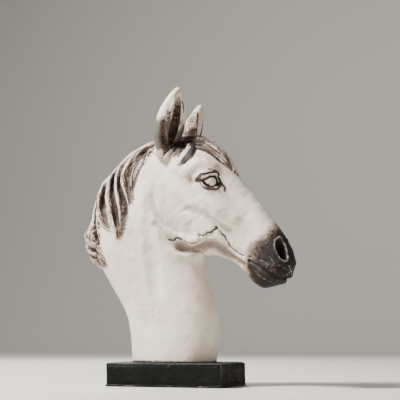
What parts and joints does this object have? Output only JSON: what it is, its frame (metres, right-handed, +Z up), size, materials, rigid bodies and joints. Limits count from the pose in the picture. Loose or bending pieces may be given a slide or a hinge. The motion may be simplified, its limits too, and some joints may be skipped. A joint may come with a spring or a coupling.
{
  "type": "horse bust sculpture",
  "caption": "White cast bust of a horse's head and arched neck with a dark mane and muzzle, standing on a black rectangular plinth as a shelf ornament.",
  "frame": {"origin": "centre of the plinth's underside", "axes": "+X the way the horse looks, along the plinth's length; +Y to the horse's left; +Z up"},
  "size_m": [0.2511, 0.082, 0.3248],
  "materials": {
    "painted_resin": "matte off-white cast resin with a dark brown wash in the mane, ears and muzzle",
    "slate": "rough black slate with worn edges"
  },
  "bodies": {
    "root": {"horse_bust": "painted_resin", "plinth": "slate"}
  },
  "joints": []
}
